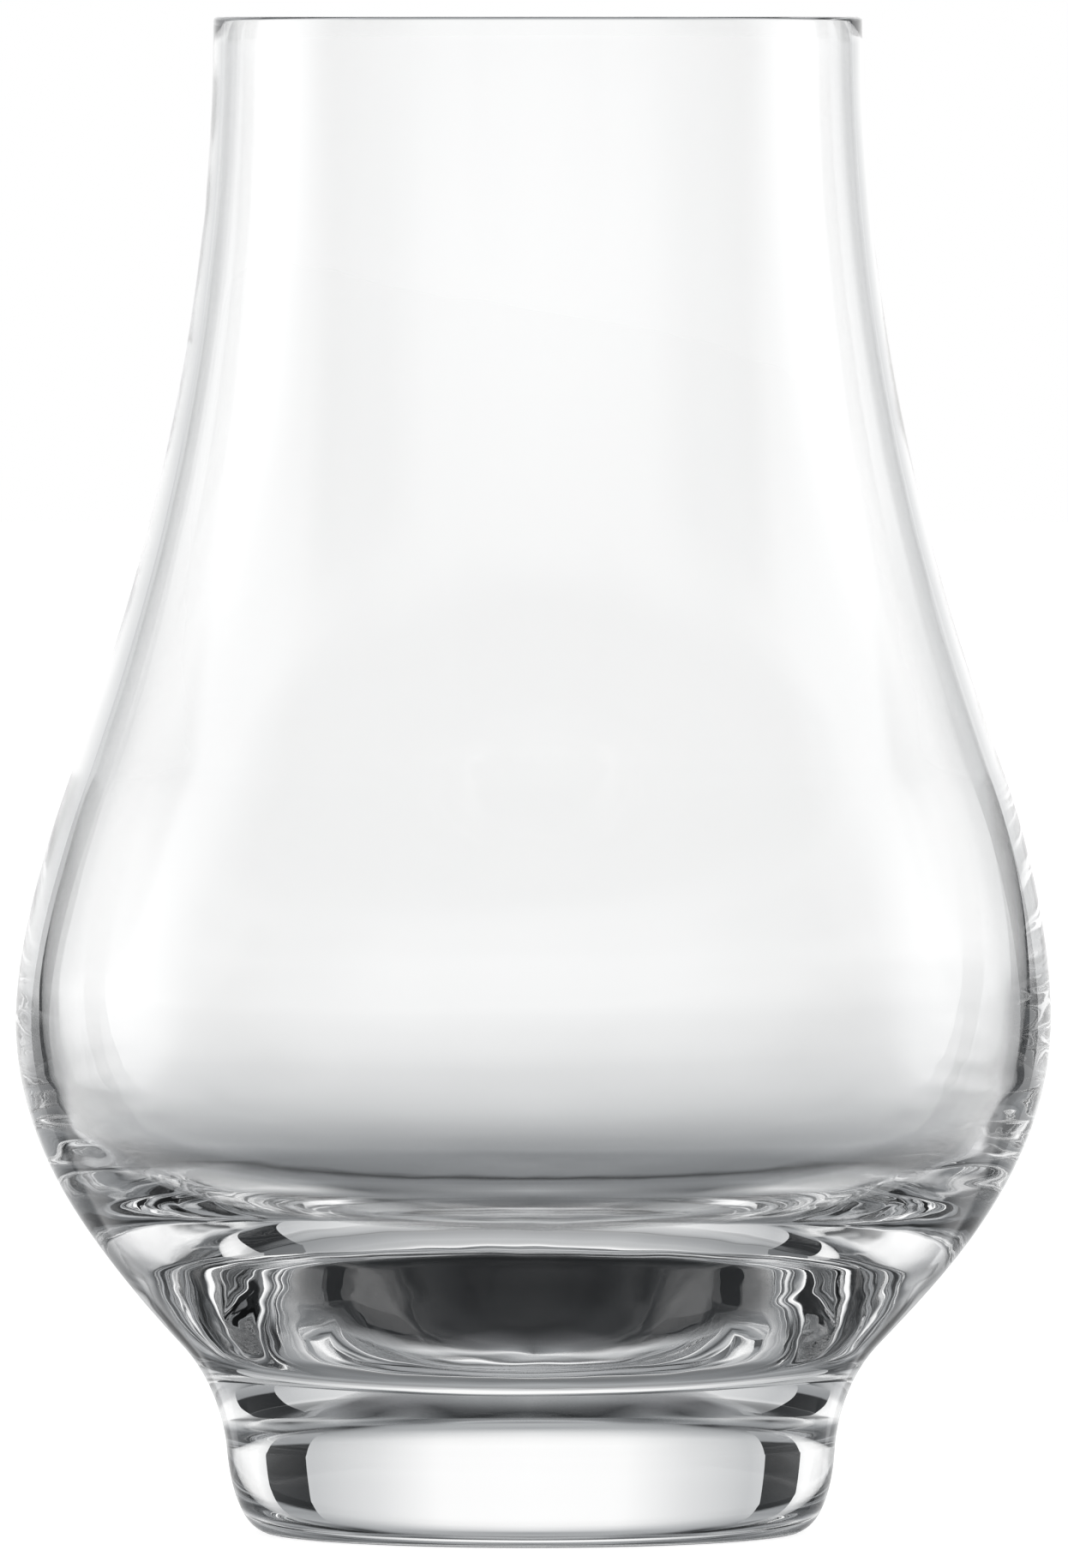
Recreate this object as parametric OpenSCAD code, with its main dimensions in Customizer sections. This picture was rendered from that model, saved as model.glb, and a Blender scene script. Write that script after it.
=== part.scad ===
// Whisky nosing glass: a tulip bowl with a thick solid bottom on a short solid foot.
// The axis of the glass is Z. It stands on the plane z = 0.
// Each outline is a chain of smooth curves between stations. A station is
// [radius, height, lean], and its lean is the angle of the wall from upright,
// positive where the wall widens upwards.

/* [Rim] */
// Height of the glass from the table to the top of the rim
height = 120; // [112:0.5:130]
// Outer radius of the mouth
lip_r = 25.65; // [23.5:0.05:28]
// Thickness of the wall at the rim
lip_wall = 0.7; // [0.5:0.05:1.6]

/* [Upper wall] */
// Outer radius where the upper wall turns from hollow to full
flank_r = 36.9; // [35:0.1:38.5]
// Height of that turn
flank_z = 60.2; // [56:0.1:66]
// Lean of the wall there, inwards
flank_lean = 19.8; // [15:0.1:24]
// Thickness of the wall there, measured level
flank_wall = 1.25; // [0.8:0.05:2.4]

/* [Belly] */
// Outer radius of the belly at its widest
belly_r = 40.97; // [39.6:0.01:43]
// Height of the widest place
belly_z = 40.8; // [38:0.1:44]
// Thickness of the wall at the belly
belly_wall = 1.9; // [1.2:0.05:3]
// How far the widest place inside lies above the one outside
belly_lift = 1.7; // [0:0.1:4]

/* [Inside of the bottom] */
// Height of the inner floor at the axis
floor_z = 16.3; // [15:0.1:18]
// Radius of the place where the floor turns up into the wall
basin_r = 27.9; // [26:0.1:30]
// Height of that place
basin_z = 23.8; // [22.8:0.1:25.5]
// Lean of the inner surface there
basin_lean = 65.4; // [58:0.1:70]

/* [Cone below the belly] */
// Radius of the steepest place of the cone
cone_r = 27.55; // [26.5:0.01:29]
// Height of that place
cone_z = 14.9; // [13.5:0.1:16]
// Lean of the cone there
cone_lean = 43.3; // [37:0.1:48]

/* [Foot] */
// Radius of the waist, where the foot is welded to the bowl
waist_r = 24.1; // [23:0.05:25.5]
// Height of the foot from the table to the weld
foot_h = 7; // [5.5:0.1:8.5]
// Lean of the wall at the waist
waist_lean = 5.9; // [0:0.1:10]
// Outer radius of the flat resting ring
ring_r = 20.5; // [19.5:0.1:21.5]
// Width of the flat resting ring
ring_w = 1.9; // [1.2:0.1:4]
// Depth of the hollow under the foot
punt_h = 2; // [0.6:0.1:3]

/* [Hidden] */

upright = 0;
level = 90;
round_fn = 160;
rim_steps = 10;
punt_steps = 12;
foot_steps = 10;
wall_steps = 14;
crystal = [0.83, 0.90, 0.92, 0.55];

// Handle lengths of each curve, as shares of the straight line between its stations:
// first at the lower station, then at the upper one.
foot_shares = [0.42, 0.05];
cone_shares = [0.15, 0.45];
keel_shares = [0.36, 0.36];
flank_shares = [0.29, 0.31];
neck_shares = [0.29, 0.39];
inner_neck_shares = [0.24, 0.43];
inner_flank_shares = [0.28, 0.27];
basin_shares = [0.24, 0.53];
floor_shares = [0.48, 0.34];

rim_r = lip_wall / 2;
rim_z = height - rim_r;
punt_r = ring_r - ring_w;

ring_edge = [ring_r, 0, level];
waist = [waist_r, foot_h, waist_lean];
cone = [cone_r, cone_z, cone_lean];
belly = [belly_r, belly_z, upright];
flank = [flank_r, flank_z, -flank_lean];
lip = [lip_r, rim_z, upright];

inner_floor = [0, floor_z, level];
inner_basin = [basin_r, basin_z, basin_lean];
inner_belly = [belly_r - belly_wall, belly_z + belly_lift, upright];
inner_flank = [flank_r - flank_wall, flank_z, -flank_lean];
inner_lip = [lip_r - lip_wall, rim_z, upright];

function place(station) = [station[0], station[1]];
function heading(station) = [sin(station[2]), cos(station[2])];
function blend(a, b, c, d, t) =
    pow(1 - t, 3) * a + 3 * pow(1 - t, 2) * t * b + 3 * (1 - t) * pow(t, 2) * c + pow(t, 3) * d;

// One curve from a lower station up to a higher one, without its last point
function rise(low, high, shares, steps) =
    let (
        a = place(low),
        d = place(high),
        chord = norm(d - a),
        b = a + chord * shares[0] * heading(low),
        c = d - chord * shares[1] * heading(high)
    )
    [for (i = [0:steps - 1]) blend(a, b, c, d, i / steps)];

function reversed(points) = [for (i = [len(points) - 1:-1:0]) points[i]];

// The shallow dome under the foot, from the axis out to the resting ring
function punt() = [
    for (i = [0:punt_steps - 1])
        let (share = i / punt_steps)
        [punt_r * share, punt_h * (1 - pow(share, 2))]
];

// The rounded top of the wall, from outside to inside
function rim() = [
    for (i = [0:rim_steps])
        let (turn = 180 * i / rim_steps)
        [lip_r - rim_r + rim_r * cos(turn), rim_z + rim_r * sin(turn)]
];

function outside() = concat(
    rise(waist, cone, cone_shares, wall_steps),
    rise(cone, belly, keel_shares, wall_steps),
    rise(belly, flank, flank_shares, wall_steps),
    rise(flank, lip, neck_shares, wall_steps)
);

function inside() = concat(
    rise(inner_floor, inner_basin, floor_shares, wall_steps),
    rise(inner_basin, inner_belly, basin_shares, wall_steps),
    rise(inner_belly, inner_flank, inner_flank_shares, wall_steps),
    rise(inner_flank, inner_lip, inner_neck_shares, wall_steps)
);

// Blown bowl: rim, wall, belly and thick bottom down to the weld plane
module bowl() {
    color(crystal)
        rotate_extrude($fn = round_fn)
            polygon(concat([[0, foot_h]], outside(), rim(), reversed(inside())));
}

// Pressed foot: solid puck with a rounded edge, a resting ring and a hollow below
module foot() {
    color(crystal)
        rotate_extrude($fn = round_fn)
            polygon(concat(
                punt(),
                [[punt_r, 0]],
                rise(ring_edge, waist, foot_shares, foot_steps),
                [place(waist), [0, foot_h]]
            ));
}

bowl();
foot();
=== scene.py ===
import math

import bmesh
import bpy
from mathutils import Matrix, Vector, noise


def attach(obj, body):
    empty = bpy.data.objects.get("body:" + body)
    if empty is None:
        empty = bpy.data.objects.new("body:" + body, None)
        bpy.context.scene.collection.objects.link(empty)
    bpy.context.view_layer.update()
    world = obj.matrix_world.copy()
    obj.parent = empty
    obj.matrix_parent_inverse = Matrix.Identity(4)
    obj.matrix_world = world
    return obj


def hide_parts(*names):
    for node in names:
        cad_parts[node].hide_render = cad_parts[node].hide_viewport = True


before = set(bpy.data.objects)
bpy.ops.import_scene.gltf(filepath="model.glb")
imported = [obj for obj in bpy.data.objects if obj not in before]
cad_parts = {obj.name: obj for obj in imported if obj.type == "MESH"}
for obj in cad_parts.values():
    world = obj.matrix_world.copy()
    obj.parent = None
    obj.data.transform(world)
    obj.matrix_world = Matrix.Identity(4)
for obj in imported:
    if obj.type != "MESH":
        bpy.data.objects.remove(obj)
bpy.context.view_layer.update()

MM = 0.001
# Degrees in a radian
DEGREES = 180 / math.pi

# Stations of the outline, in millimetres. A station is (radius, height, lean), where lean is the
# angle of the wall from upright, positive where the wall widens upwards.
HEIGHT = 120.0
RIM_R = 0.35
LIP = (25.65, HEIGHT - RIM_R, 0.0)
FLANK = (36.9, 60.2, -19.8)
BELLY = (40.97, 40.8, 0.0)
CONE = (27.55, 14.9, 43.3)
WAIST = (24.1, 7.0, 5.9)
RING_EDGE = (20.5, 0.0, 90.0)
RING_W = 1.9
PUNT_H = 2.0

# Inner stations: the wall grows thicker from the lip down to the belly, and the inner belly lies a
# little higher than the outer one
FLANK_WALL = 1.25
BELLY_WALL = 1.9
BELLY_RISE = 1.7
INNER_LIP = (LIP[0] - 2 * RIM_R, LIP[1], 0.0)
INNER_FLANK = (FLANK[0] - FLANK_WALL, FLANK[1], FLANK[2])
INNER_BELLY = (BELLY[0] - BELLY_WALL, BELLY[1] + BELLY_RISE, 0.0)
INNER_BASIN = (27.9, 23.8, 65.4)
INNER_FLOOR = (0.0, 16.3, 90.0)

# Fullness of each curve at its lower and upper station, as shares of its chord
FOOT_SHARES = (0.42, 0.05)
CONE_SHARES = (0.15, 0.45)
KEEL_SHARES = (0.36, 0.36)
FLANK_SHARES = (0.29, 0.31)
NECK_SHARES = (0.29, 0.39)
INNER_NECK_SHARES = (0.24, 0.43)
INNER_FLANK_SHARES = (0.28, 0.27)
BASIN_SHARES = (0.24, 0.53)
FLOOR_SHARES = (0.48, 0.34)

# Fineness of the mesh: points round the glass and along each curve
ROUND_STEPS = 400
WALL_STEPS = 40
FOOT_STEPS = 26
RIM_STEPS = 12
PUNT_STEPS = 16
# A point of the half section this near the axis, in millimetres, lies on it
ON_AXIS = 1e-6

# How far the blown glass strays to the right of its axis, by height
SHIFT = [(0, -0.12), (14, -0.25), (24, -0.05), (38, 0), (62, 0.37), (120, 0.37)]
# How much further its inner side strays
INNER_SHIFT = [(0, 0), (34, 0), (58, 0.24), (120, 0)]

# Unevenness of the inner side of the bottom: height and length of its waves, the finer waves as
# shares of these with their own place in the noise, and the heights between which all fade out
WAVE = 0.028
WAVE_LENGTH = 5.0
FINE_WAVE = 0.4
FINE_LENGTH = 0.45
FINE_PLACE = Vector((7, 3, 5))
WAVE_HEIGHTS = (22.0, 29.0)
# Chill wrinkles on the belly: height, length round the glass and length up it, the heights between
# which they grow and fade, and how far to the side they grow, as a share of the radius
WRINKLE = 0.06
WRINKLE_LONG = 15.0
WRINKLE_TALL = 1.6
WRINKLE_FROM = (25.0, 30.0)
WRINKLE_TO = (34.0, 40.0)
WRINKLE_SIDES = (0.8, 0.97)

# Display level of white, and by how many levels the middle greys lean away from red and to blue
WHITE_LEVEL = 255.0
COOL = 2.5
WHITE = (1, 1, 1, 1)
# The sRGB curve: end and slope of its straight start, then offset and power of the rest
SRGB_START = 0.04045
SRGB_SLOPE = 12.92
SRGB_OFFSET = 0.055
SRGB_POWER = 2.4

# The studio round the glass, in display levels by direction. Each ring lies at a height in
# degrees, and its stops are (degrees from straight behind the glass, level) on one side. The other
# side mirrors them. It is brightest behind the glass and at its sides, has dark gaps higher up and
# from about 100 to 110 degrees, and is dim on the camera's side up to about 50 degrees high.
STUDIO = [
    (12, [
        (0, 262), (12, 260), (22, 232), (35, 205), (47, 225), (56, 280), (65, 290), (75, 280), (85, 225),
        (95, 95), (101, 45), (110, 52), (120, 105), (137, 130), (150, 155), (180, 165),
    ]),
    (16.5, [
        (0, 255), (12, 252), (22, 228), (35, 202), (47, 215), (56, 275), (65, 288), (75, 265), (85, 215),
        (95, 125), (102, 45), (110, 48), (120, 90), (137, 120), (150, 145), (180, 155),
    ]),
    (21, [
        (0, 235), (12, 228), (25, 200), (35, 190), (47, 205), (56, 235), (65, 225), (85, 205), (95, 170),
        (105, 40), (125, 35), (138, 80), (150, 115), (180, 130),
    ]),
    (27, [
        (0, 165), (12, 180), (25, 180), (35, 165), (45, 120), (56, 220), (65, 215), (78, 165), (90, 180),
        (99, 145), (106, 22), (150, 25), (180, 30),
    ]),
    (36, [
        (0, 185), (12, 175), (25, 155), (33, 50), (42, 140), (56, 205), (65, 215), (75, 60), (88, 150),
        (99, 145), (106, 22), (150, 25), (180, 30),
    ]),
    (50, [
        (0, 40), (12, 160), (27, 110), (40, 60), (56, 140), (65, 212), (85, 180), (99, 145), (106, 22),
        (150, 25), (180, 30),
    ]),
    (58, [
        (0, 190), (15, 155), (28, 65), (45, 150), (65, 162), (85, 142), (110, 155), (150, 130), (180, 188),
    ]),
    (68, [
        (0, 75), (20, 45), (30, 60), (45, 110), (60, 95), (85, 115), (120, 160), (180, 212),
    ]),
    (84, [
        (0, 165), (180, 165),
    ]),
]

# Black cards behind the glass: degrees from straight behind it to their two edges, distance and
# height in millimetres, and the painted light on them by height, dim up to about 102 mm and lighter above
# 114 mm
CARDS = {"left_card": (-49.0, -36.0), "right_card": (33.5, 47.0)}
CARD_FAR = 350.0
CARD_TOP = 190.0
CARD_PAINTED_LIGHT = [(0, 40), (102, 42), (114, 158), (190, 180)]

# The polished table's painted light and shade in display levels by place: a painted shadow of the glass,
# dark under the foot and round it, painted bright caustic patches beside it and painted shadows of the
# cards, brighter far off. Likewise on one side, on rings at distances in millimetres from the axis, and
# how strongly it mirrors
TABLE_PAINTED_LIGHT = [
    (3, [
        (0, 200), (50, 200), (75, 240), (100, 150), (180, 90),
    ]),
    (9, [
        (0, 25), (24, 90), (50, 60), (68, 200), (80, 225), (100, 50), (180, 25),
    ]),
    (20, [
        (0, 12), (28, 40), (42, 150), (58, 200), (80, 150), (100, 40), (180, 25),
    ]),
    (29, [
        (0, 110), (30, 150), (45, 150), (60, 90), (80, 15), (100, 110), (140, 60), (180, 120),
    ]),
    (37, [
        (0, 175), (24, 90), (34, 240), (48, 200), (60, 120), (75, 90), (100, 60), (130, 60), (180, 30),
    ]),
    (49, [
        (0, 130), (20, 130), (30, 165), (38, 110), (44, 60), (50, 90), (60, 150), (72, 100), (95, 80),
        (130, 50), (180, 40),
    ]),
    (54.5, [
        (0, 130), (20, 120), (30, 90), (40, 60), (46, 200), (60, 170), (72, 105), (100, 80), (130, 45),
        (180, 40),
    ]),
    (58, [
        (0, 22), (20, 30), (34, 30), (41, 50), (46, 220), (60, 180), (72, 105), (100, 80), (130, 50),
        (180, 50),
    ]),
    (61.5, [
        (0, 130), (20, 120), (34, 40), (41, 50), (46, 230), (60, 190), (72, 110), (100, 85), (130, 55),
        (180, 60),
    ]),
    (70, [
        (0, 140), (20, 140), (34, 40), (41, 50), (45, 230), (60, 210), (72, 120), (100, 95), (130, 90),
        (180, 100),
    ]),
    (84, [
        (0, 150), (20, 165), (34, 50), (41, 60), (47, 90), (52, 245), (62, 245), (74, 150), (88, 150),
        (100, 130), (130, 175), (180, 212),
    ]),
    (102, [
        (0, 152), (24, 160), (34, 60), (44, 45), (50, 60), (54, 245), (58, 260), (66, 235), (74, 245),
        (90, 250), (110, 170), (138, 222), (180, 232),
    ]),
    (125, [
        (0, 160), (22, 155), (30, 60), (44, 50), (51, 60), (55, 250), (64, 245), (72, 240), (90, 245),
        (99, 130), (122, 110), (138, 222), (180, 238),
    ]),
    (170, [
        (0, 175), (16, 165), (22, 75), (32, 50), (50, 60), (55, 230), (62, 258), (90, 240), (99, 100),
        (122, 90), (138, 225), (180, 242),
    ]),
    (300, [
        (0, 190), (14, 215), (21, 85), (34, 60), (46, 75), (52, 215), (62, 270), (90, 250), (99, 100),
        (122, 90), (138, 225), (180, 244),
    ]),
    (450, [
        (0, 250), (25, 266), (50, 245), (62, 268), (90, 240), (99, 100), (122, 90), (138, 225), (180, 244),
    ]),
    (800, [
        (0, 252), (25, 262), (50, 250), (62, 268), (90, 235), (99, 80), (122, 80), (138, 220), (180, 240),
    ]),
]
TABLE_IOR = 1.5
# Base of the logarithm that spreads the table's rings
LOG_BASE = 10.0
# The floor that the camera sees: how far it reaches and how far it lies under the glass, in
# millimetres, then its grey and its own light
FLOOR_REACH = 4000.0
FLOOR_DROP = 0.02
FLOOR_GREY = (0.6, 0.6, 0.6, 1)
FLOOR_GLOW = 0.85
# Plain soft light on everything but glass and metal
SOFT_LIGHT = (0.6, 0.6, 0.6, 1)

# Crystal: refraction, two tints of the melt with the scale and detail of their change, the greatest
# roughness, and the scale, detail and height in metres of the slow unevenness of the polish
GLASS_IOR = 1.511
TINT_CLEAR = (1.0, 1.0, 1.0, 1)
TINT_COOL = (0.996, 0.999, 0.998, 1)
MELT_SCALE = 35.0
MELT_DETAIL = 2.0
POLISH = 0.004
POLISH_SCALE = 110.0
POLISH_DETAIL = 1.0
POLISH_WAVE = 0.00002

# Camera in metres: distance, height, the height that it aims at and the end of its view. Its sensor
# is in millimetres.
CAMERA_FAR = 2.0
CAMERA_EYE = 0.120
CAMERA_AIM = 0.060
CAMERA_END = 50
SENSOR_W = 36
# The photo in pixels: its frame, its scale at the glass, and where the axis and the aim fall in it
FRAME_W_PX = 1246
FRAME_H_PX = 1830
PX_PER_MM = 14.746
AXIS_PX = 622.0
AIM_PX = 904.7

# Sockets of a colour mix node, which share their names with those of other kinds
MIX_FACTOR = 0
MIX_FIRST = 6
MIX_SECOND = 7
MIX_RESULT = 2
# Most stops that one colour ramp holds, and the position of a new one until it gets its own
RAMP_STOPS = 32
NEW_KEY = 0.5
# Bounces of light allowed, which are many because rays stay long inside the thick bottom
BOUNCES = 80


def linear(level):
    """Scene value of a display level."""
    share = level / WHITE_LEVEL
    if share <= SRGB_START:
        return share / SRGB_SLOPE
    return ((share + SRGB_OFFSET) / (1 + SRGB_OFFSET)) ** SRGB_POWER


def grey(level):
    """Colour of a display level: black and white are neutral and the greys between slightly cool."""
    share = level / WHITE_LEVEL
    cool = COOL * max(4 * share * (1 - share), 0)
    return (linear(level - cool), linear(level), linear(level + cool), 1)


def place(station):
    return Vector((station[0], station[1]))


def heading(station):
    lean = math.radians(station[2])
    return Vector((math.sin(lean), math.cos(lean)))


def curve_point(start, leave, arrive, end, share):
    """Point of a cubic curve with two handles, at a share of its way."""
    rest = 1 - share
    return (
        rest ** 3 * start
        + 3 * rest * rest * share * leave
        + 3 * rest * share * share * arrive
        + share ** 3 * end
    )


def rise(low, high, shares, steps):
    """Smooth curve from a lower station up to a higher one, without its last point."""
    start = place(low)
    end = place(high)
    chord = (end - start).length
    leave = start + chord * shares[0] * heading(low)
    arrive = end - chord * shares[1] * heading(high)
    return [curve_point(start, leave, arrive, end, step / steps) for step in range(steps)]


def rim():
    """Half circle over the rim, from its outer side to its inner side."""
    centre = LIP[0] - RIM_R
    turns = [math.pi * step / RIM_STEPS for step in range(RIM_STEPS + 1)]
    return [
        Vector((centre + RIM_R * math.cos(turn), LIP[1] + RIM_R * math.sin(turn)))
        for turn in turns
    ]


def punt():
    """Shallow hollow under the foot, from the axis out to the resting ring."""
    radius = RING_EDGE[0] - RING_W
    shares = [step / PUNT_STEPS for step in range(PUNT_STEPS + 1)]
    return [Vector((radius * share, PUNT_H * (1 - share * share))) for share in shares]


def outline():
    """Closed half section, from the axis under the foot round to the axis on the inner floor, and
    the place in it where the inner side starts."""
    outside = (
        rise(RING_EDGE, WAIST, FOOT_SHARES, FOOT_STEPS)
        + rise(WAIST, CONE, CONE_SHARES, WALL_STEPS)
        + rise(CONE, BELLY, KEEL_SHARES, 2 * WALL_STEPS)
        + rise(BELLY, FLANK, FLANK_SHARES, WALL_STEPS)
        + rise(FLANK, LIP, NECK_SHARES, WALL_STEPS)
    )
    inside = (
        rise(INNER_FLOOR, INNER_BASIN, FLOOR_SHARES, 2 * WALL_STEPS)
        + rise(INNER_BASIN, INNER_BELLY, BASIN_SHARES, 2 * WALL_STEPS)
        + rise(INNER_BELLY, INNER_FLANK, INNER_FLANK_SHARES, WALL_STEPS)
        + rise(INNER_FLANK, INNER_LIP, INNER_NECK_SHARES, WALL_STEPS)
    )
    outer = punt() + outside + rim()
    return outer + inside[::-1], len(outer)


def share_between(value, low, high):
    """Smooth share from 0 at the low value to 1 at the high one."""
    share = min(max((value - low) / (high - low), 0), 1)
    return share * share * (3 - 2 * share)


def between(stops, height):
    """Value at a height that changes smoothly between stops of (height, value)."""
    for (low, first), (high, second) in zip(stops, stops[1:]):
        if height <= high:
            return first + (second - first) * share_between(height, low, high)
    return stops[-1][1]


def bottom_wave(x, y, z):
    """Gentle unevenness of the inner side of the bottom, in millimetres."""
    low = 1 - share_between(z, *WAVE_HEIGHTS)
    broad = noise.noise(Vector((x, y, z)) / WAVE_LENGTH)
    fine = noise.noise(Vector((y, z, x)) / (FINE_LENGTH * WAVE_LENGTH) + FINE_PLACE)
    return low * WAVE * (broad + FINE_WAVE * fine)


def belly_wrinkle(x, y, z):
    """Chill wrinkles round the inside of the belly, strongest on its two sides, in millimetres."""
    band = share_between(z, *WRINKLE_FROM) * (1 - share_between(z, *WRINKLE_TO))
    side = share_between(abs(x) / math.hypot(x, y), *WRINKLE_SIDES)
    spot = Vector((y / WRINKLE_LONG, x / WRINKLE_LONG, z / WRINKLE_TALL))
    return band * side * WRINKLE * noise.noise(spot)


def blown(point, normal, turn, inner):
    """Place of a point of the half section after a turn, in metres, with the glass's small
    departures from round."""
    across = math.cos(turn)
    away = math.sin(turn)
    radius = point.x
    height = point.y
    if inner and radius > 0:
        spot = (radius * across, radius * away, height)
        wave = bottom_wave(*spot) + belly_wrinkle(*spot)
        radius += wave * normal.x
        height += wave * normal.y
    x = radius * across + between(SHIFT, point.y)
    if inner:
        x += between(INNER_SHIFT, point.y)
    return Vector((x, radius * away, height)) * MM


def new_piece(name, data):
    piece = bpy.data.objects.new(name, data)
    bpy.context.scene.collection.objects.link(piece)
    return piece


def join_rings(shape, low, high):
    """Faces between two rings of points, one of which may be a single point on the axis."""
    for step in range(ROUND_STEPS):
        after = (step + 1) % ROUND_STEPS
        if len(low) == 1:
            corners = (low[0], high[step], high[after])
        elif len(high) == 1:
            corners = (low[after], low[step], high[0])
        else:
            corners = (low[after], low[step], high[step], high[after])
        shape.faces.new(corners)


def lathe(name, points, first_inner):
    """Closed mesh made by turning a half section about the axis."""
    shape = bmesh.new()
    turns = [2 * math.pi * step / ROUND_STEPS for step in range(ROUND_STEPS)]
    rings = []
    for index, point in enumerate(points):
        inner = index >= first_inner
        along = points[min(index + 1, len(points) - 1)] - points[max(index - 1, 0)]
        normal = Vector((along.y, -along.x)).normalized()
        ring_turns = turns[:1] if point.x < ON_AXIS else turns
        rings.append([shape.verts.new(blown(point, normal, turn, inner)) for turn in ring_turns])
    for low, high in zip(rings, rings[1:]):
        join_rings(shape, low, high)
    bmesh.ops.recalc_face_normals(shape, faces=shape.faces)
    for face in shape.faces:
        face.smooth = True
    mesh = bpy.data.meshes.new(name)
    shape.to_mesh(mesh)
    shape.free()
    return new_piece(name, mesh)


def feed(tree, socket, value):
    """Give a socket a plain value, or link it to another node's output."""
    if isinstance(value, bpy.types.NodeSocket):
        tree.links.new(value, socket)
    else:
        socket.default_value = value


def new_node(tree, kind, **sockets):
    """Node with plain values or links on the sockets that are named."""
    node = tree.nodes.new(kind)
    for name, value in sockets.items():
        feed(tree, node.inputs[name], value)
    return node


def math_node(tree, operation, *values):
    node = tree.nodes.new("ShaderNodeMath")
    node.operation = operation
    for socket, value in zip(node.inputs, values):
        feed(tree, socket, value)
    return node.outputs[0]


def mix_colour(tree, factor, first, second):
    node = tree.nodes.new("ShaderNodeMix")
    node.data_type = "RGBA"
    feed(tree, node.inputs[MIX_FACTOR], factor)
    feed(tree, node.inputs[MIX_FIRST], first)
    feed(tree, node.inputs[MIX_SECOND], second)
    return node.outputs[MIX_RESULT]


def mix_shader(tree, factor, first, second):
    node = tree.nodes.new("ShaderNodeMixShader")
    for socket, value in zip(node.inputs, (factor, first, second)):
        feed(tree, socket, value)
    return node.outputs[0]


def share_node(tree, source, low, high):
    """Share from 0 at the low value of a quantity to 1 at the high one."""
    ends = {"From Min": low, "From Max": high}
    return new_node(tree, "ShaderNodeMapRange", Value=source, **ends).outputs["Result"]


def level_ramp(tree, source, stops):
    """Grey level along a quantity, from stops of (quantity, display level)."""
    if len(stops) > RAMP_STOPS:
        half = len(stops) // 2
        upper = math_node(tree, "GREATER_THAN", source, stops[half][0])
        parts = [level_ramp(tree, source, part) for part in (stops[:half + 1], stops[half:])]
        return mix_colour(tree, upper, *parts)
    low = stops[0][0]
    high = stops[-1][0]
    ramp = new_node(tree, "ShaderNodeValToRGB", Fac=share_node(tree, source, low, high))
    keys = ramp.color_ramp.elements
    while len(keys) < len(stops):
        keys.new(NEW_KEY)
    for key, (quantity, level) in zip(keys, stops):
        key.position = (quantity - low) / (high - low)
        key.color = grey(level)
    return ramp.outputs["Color"]


def both_sides(stops):
    """Stops all round from those of one side, which start straight behind the glass."""
    return [(-turn, level) for turn, level in reversed(stops) if turn > 0] + stops


def ring_levels(tree, around, quantity, rings):
    """Level by degrees round and a second quantity, from rings of (quantity, stops of one side)."""
    level = level_ramp(tree, around, both_sides(rings[0][1]))
    for (low, _), (high, stops) in zip(rings, rings[1:]):
        share = share_node(tree, quantity, low, high)
        level = mix_colour(tree, share, level, level_ramp(tree, around, both_sides(stops)))
    return level


def split_node(tree, vector):
    return new_node(tree, "ShaderNodeSeparateXYZ", Vector=vector)


def degrees_round(tree, split):
    """Degrees from straight behind the glass, positive to the right."""
    turn = math_node(tree, "ARCTAN2", split.outputs["X"], split.outputs["Y"])
    return math_node(tree, "MULTIPLY", turn, DEGREES)


def build_world():
    """Plain soft light, with white for the camera. Glass and metal show the studio's white ground
    and the darker things that stand round it."""
    world = bpy.data.worlds.new("studio")
    bpy.context.scene.world = world
    world.use_nodes = True
    tree = world.node_tree
    tree.nodes.clear()
    split = split_node(tree, tree.nodes.new("ShaderNodeTexCoord").outputs["Generated"])
    above = math_node(tree, "MULTIPLY", math_node(tree, "ARCSINE", split.outputs["Z"]), DEGREES)
    studio = ring_levels(tree, degrees_round(tree, split), above, STUDIO)
    light_path = tree.nodes.new("ShaderNodeLightPath")
    mirrored = light_path.outputs["Is Glossy Ray"]
    passed = light_path.outputs["Is Transmission Ray"]
    around = mix_colour(tree, math_node(tree, "MAXIMUM", mirrored, passed), SOFT_LIGHT, studio)
    shown = mix_colour(tree, light_path.outputs["Is Camera Ray"], around, WHITE)
    background = new_node(tree, "ShaderNodeBackground", Color=shown, Strength=1.0)
    new_node(tree, "ShaderNodeOutputWorld", Surface=background.outputs[0])


def new_material(name):
    material = bpy.data.materials.new(name)
    material.use_nodes = True
    material.node_tree.nodes.clear()
    return material


def card_material():
    """Black card that glows with painted light, its level set by height."""
    material = new_material("black_card")
    tree = material.node_tree
    split = split_node(tree, tree.nodes.new("ShaderNodeNewGeometry").outputs["Position"])
    height = math_node(tree, "DIVIDE", split.outputs["Z"], MM)
    levels = level_ramp(tree, height, CARD_PAINTED_LIGHT)
    # The card is no lamp: its glow is painted light
    face = new_node(tree, "ShaderNodeEmission", Color=levels, Strength=1.0)
    new_node(tree, "ShaderNodeOutputMaterial", Surface=face.outputs[0])
    return material


def painted_table_light(tree):
    """The table's painted light and shade, with its painted shadows and caustic light, by degrees round
    the glass and the logarithm of the distance.
    """
    position = tree.nodes.new("ShaderNodeNewGeometry").outputs["Position"]
    around = degrees_round(tree, split_node(tree, position))
    length = new_node(tree, "ShaderNodeVectorMath", Vector=position)
    length.operation = "LENGTH"
    distance = math_node(tree, "MAXIMUM", length.outputs["Value"], MM)
    spread = math_node(tree, "LOGARITHM", distance, LOG_BASE)
    rings = [(math.log(far * MM, LOG_BASE), stops) for far, stops in TABLE_PAINTED_LIGHT]
    return ring_levels(tree, around, spread, rings)


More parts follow.
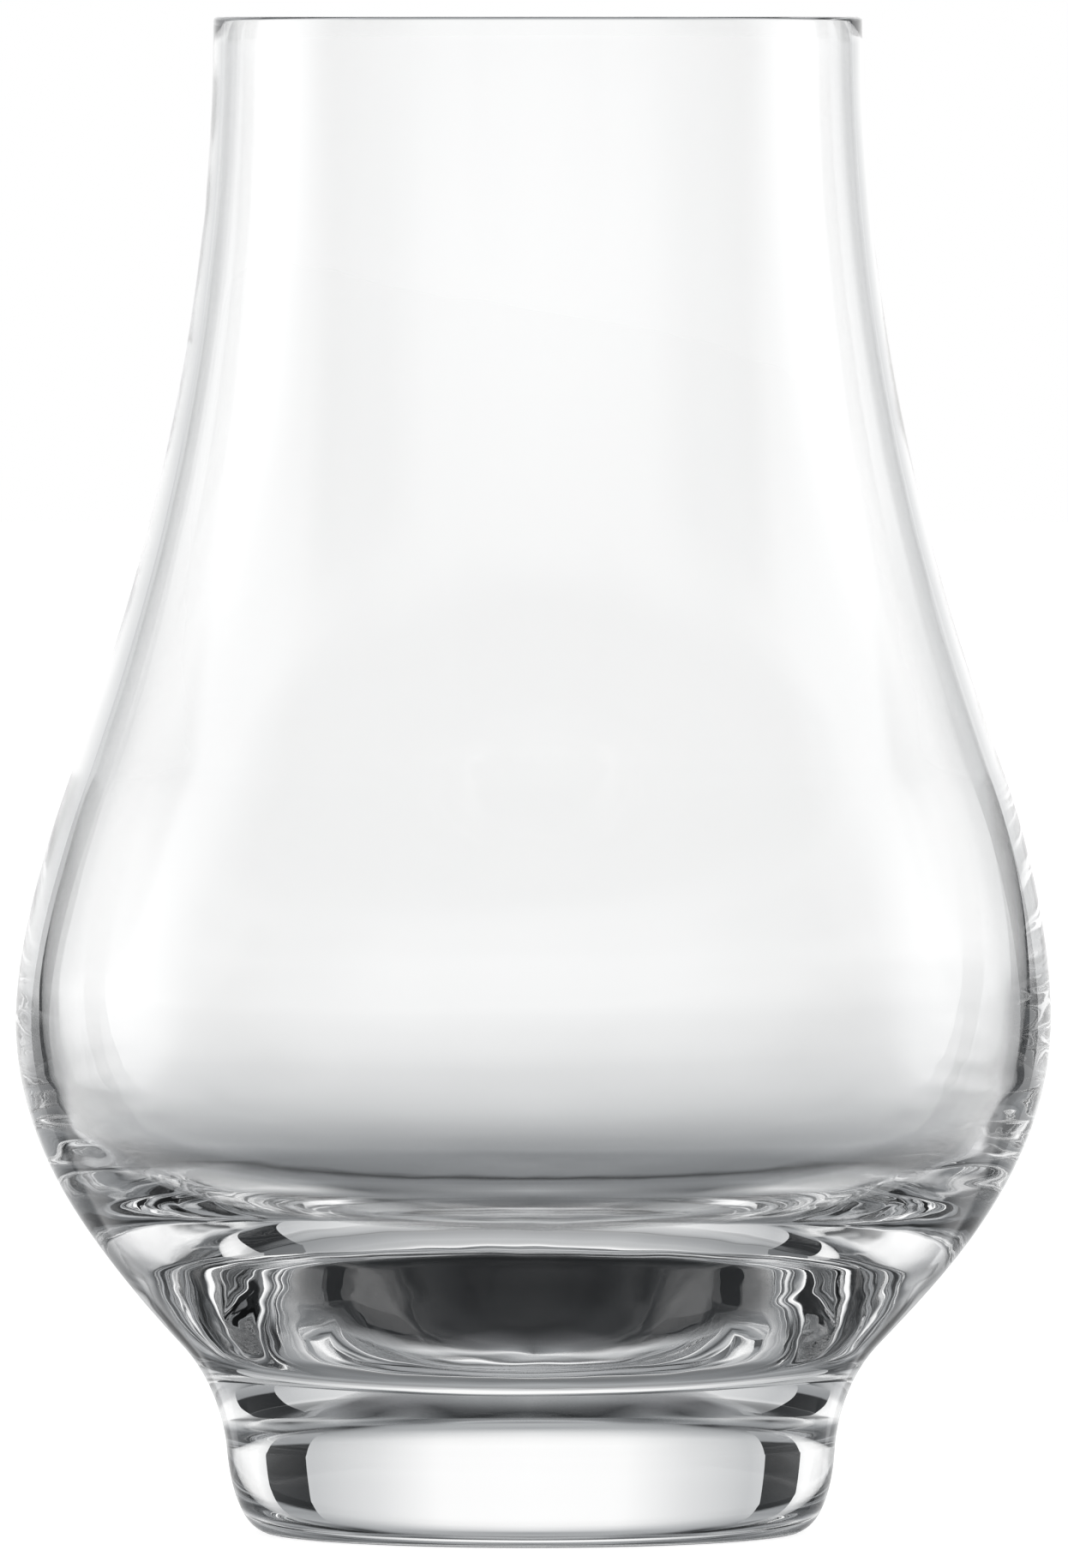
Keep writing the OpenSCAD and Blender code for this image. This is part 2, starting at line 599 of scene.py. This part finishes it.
def floor_material():
    """Pale floor for the camera, and for all other rays a polished table that glows with painted light and
    shade.
    """
    material = new_material("pale_floor")
    tree = material.node_tree
    # The table's glow is painted light and shade: the glass's painted shadow, painted caustic patches and
    # painted shadows of the cards. The mirror mixed in by Fresnel is real reflection.
    painted_table_glow = new_node(tree, "ShaderNodeEmission", Color=painted_table_light(tree))
    mirror = new_node(tree, "ShaderNodeBsdfGlossy", Color=WHITE, Roughness=0.0)
    sheen = new_node(tree, "ShaderNodeFresnel", IOR=TABLE_IOR)
    polished = mix_shader(tree, sheen.outputs[0], painted_table_glow.outputs[0], mirror.outputs[0])
    matt = new_node(tree, "ShaderNodeBsdfDiffuse", Color=FLOOR_GREY)
    glow = new_node(tree, "ShaderNodeEmission", Color=WHITE, Strength=FLOOR_GLOW)
    pale = tree.nodes.new("ShaderNodeAddShader")
    tree.links.new(matt.outputs[0], pale.inputs[0])
    tree.links.new(glow.outputs[0], pale.inputs[1])
    seen = tree.nodes.new("ShaderNodeLightPath").outputs["Is Camera Ray"]
    shown = mix_shader(tree, seen, polished, pale.outputs[0])
    new_node(tree, "ShaderNodeOutputMaterial", Surface=shown)
    return material


def glass_material():
    """Clear crystal: a trace of cool tint that varies with the melt, fire-polished, with the faint
    slow unevenness of a blown surface."""
    material = new_material("crystal")
    tree = material.node_tree
    spot = tree.nodes.new("ShaderNodeTexCoord").outputs["Object"]
    shader = tree.nodes.new("ShaderNodeBsdfPrincipled")
    shader.inputs["IOR"].default_value = GLASS_IOR
    shader.inputs["Transmission Weight"].default_value = 1

    melt = new_node(tree, "ShaderNodeTexNoise", Vector=spot, Scale=MELT_SCALE, Detail=MELT_DETAIL)
    change = melt.outputs["Fac"]
    tree.links.new(mix_colour(tree, change, TINT_CLEAR, TINT_COOL), shader.inputs["Base Color"])
    haze = new_node(tree, "ShaderNodeMapRange", Value=change, **{"To Max": POLISH})
    tree.links.new(haze.outputs["Result"], shader.inputs["Roughness"])

    polish = new_node(tree, "ShaderNodeTexNoise", Vector=spot, Scale=POLISH_SCALE, Detail=POLISH_DETAIL)
    swell = polish.outputs["Fac"]
    bump = new_node(tree, "ShaderNodeBump", Strength=1.0, Distance=POLISH_WAVE, Height=swell)
    tree.links.new(bump.outputs["Normal"], shader.inputs["Normal"])

    new_node(tree, "ShaderNodeOutputMaterial", Surface=shader.outputs[0])
    return material


def flat_piece(name, corners, material):
    """A single upright or level sheet, part of the studio, from corners in millimetres."""
    mesh = bpy.data.meshes.new(name)
    places = [[length * MM for length in corner] for corner in corners]
    mesh.from_pydata(places, [], [(0, 1, 2, 3)])
    mesh.materials.append(material)
    piece = new_piece(name, mesh)
    return piece


def card_edge(degrees):
    """Place of a card's edge across and behind the glass, in millimetres."""
    turn = math.radians(degrees)
    return (CARD_FAR * math.sin(turn), CARD_FAR * math.cos(turn))


def build_cards():
    """Upright black cards, which only mirrored rays and rays through glass meet."""
    material = card_material()
    for name, edges in CARDS.items():
        left, right = [card_edge(degrees) for degrees in edges]
        corners = [(*left, 0), (*right, 0), (*right, CARD_TOP), (*left, CARD_TOP)]
        card = flat_piece(name, corners, material)
        card.visible_camera = False
        card.visible_diffuse = False
        card.visible_shadow = False


def build_floor():
    sides = [(-1, -1), (1, -1), (1, 1), (-1, 1)]
    corners = [(FLOOR_REACH * x, FLOOR_REACH * y, -FLOOR_DROP) for x, y in sides]
    flat_piece("floor", corners, floor_material())


def build_camera():
    """The photo's camera: its place, and its lens and shift so that the glass fills the same pixels."""
    data = bpy.data.cameras.new("camera")
    camera = new_piece("camera", data)
    bpy.context.scene.camera = camera
    drop = CAMERA_EYE - CAMERA_AIM
    camera.location = (0, -CAMERA_FAR, CAMERA_EYE)
    camera.rotation_euler = (math.pi / 2 - math.atan2(drop, CAMERA_FAR), 0, 0)
    data.sensor_width = SENSOR_W
    data.lens = PX_PER_MM / MM * math.hypot(CAMERA_FAR, drop) * data.sensor_width / FRAME_H_PX
    data.shift_x = (FRAME_W_PX / 2 - AXIS_PX) / FRAME_H_PX
    data.shift_y = (AIM_PX - FRAME_H_PX / 2) / FRAME_H_PX
    data.clip_end = CAMERA_END


scene = bpy.context.scene
scene.view_settings.view_transform = "Standard"
scene.cycles.max_bounces = BOUNCES
scene.cycles.glossy_bounces = BOUNCES
scene.cycles.transmission_bounces = BOUNCES

build_world()
build_floor()
build_cards()
build_camera()

section, first_inner = outline()
glass = lathe("glass_body", section, first_inner)
glass.data.materials.append(glass_material())
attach(glass, "root")
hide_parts("bowl", "foot")
